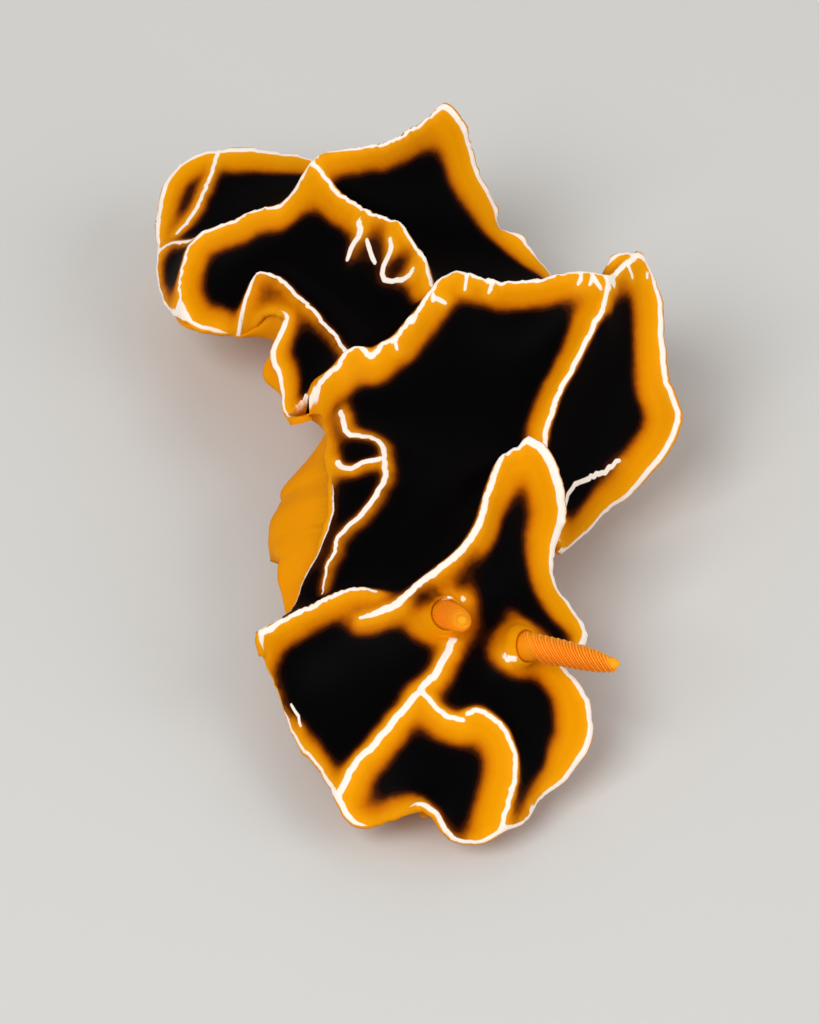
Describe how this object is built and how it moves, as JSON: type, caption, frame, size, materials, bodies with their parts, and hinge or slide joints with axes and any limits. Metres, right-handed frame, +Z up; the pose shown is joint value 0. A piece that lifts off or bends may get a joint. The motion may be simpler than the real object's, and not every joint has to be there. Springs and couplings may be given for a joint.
{
  "type": "nudibranch",
  "caption": "Crawling dorid nudibranch with a wavy ridged black mantle, orange ridge flanks with white crests and two ringed orange rhinophores, as a still life-size model",
  "frame": {"origin": "centre of the bottom of the bounding box, on the floor under the sole of the foot", "axes": "Z up, the head points along -Y and the tail along +Y, X is across the body with the animal's left side at +X"},
  "size_m": [0.0338, 0.0552, 0.015],
  "materials": {
    "notum_black": "smooth wet satin skin, black with orange ridge flanks and white crest lines",
    "mango_orange": "smooth wet satin skin, mango orange",
    "foot_pale_orange": "smooth satin skin, pale orange",
    "rhinophore_orange": "satin skin with fine cross ridges, bright orange"
  },
  "bodies": {
    "root": {"mantle_head": "notum_black", "mantle_middle": "notum_black", "mantle_tail": "notum_black", "body": "mango_orange", "head": "mango_orange", "oral_tentacle_left": "mango_orange", "oral_tentacle_right": "mango_orange", "foot": "foot_pale_orange", "rhinophore_left": "rhinophore_orange", "rhinophore_right": "rhinophore_orange"}
  },
  "joints": []
}
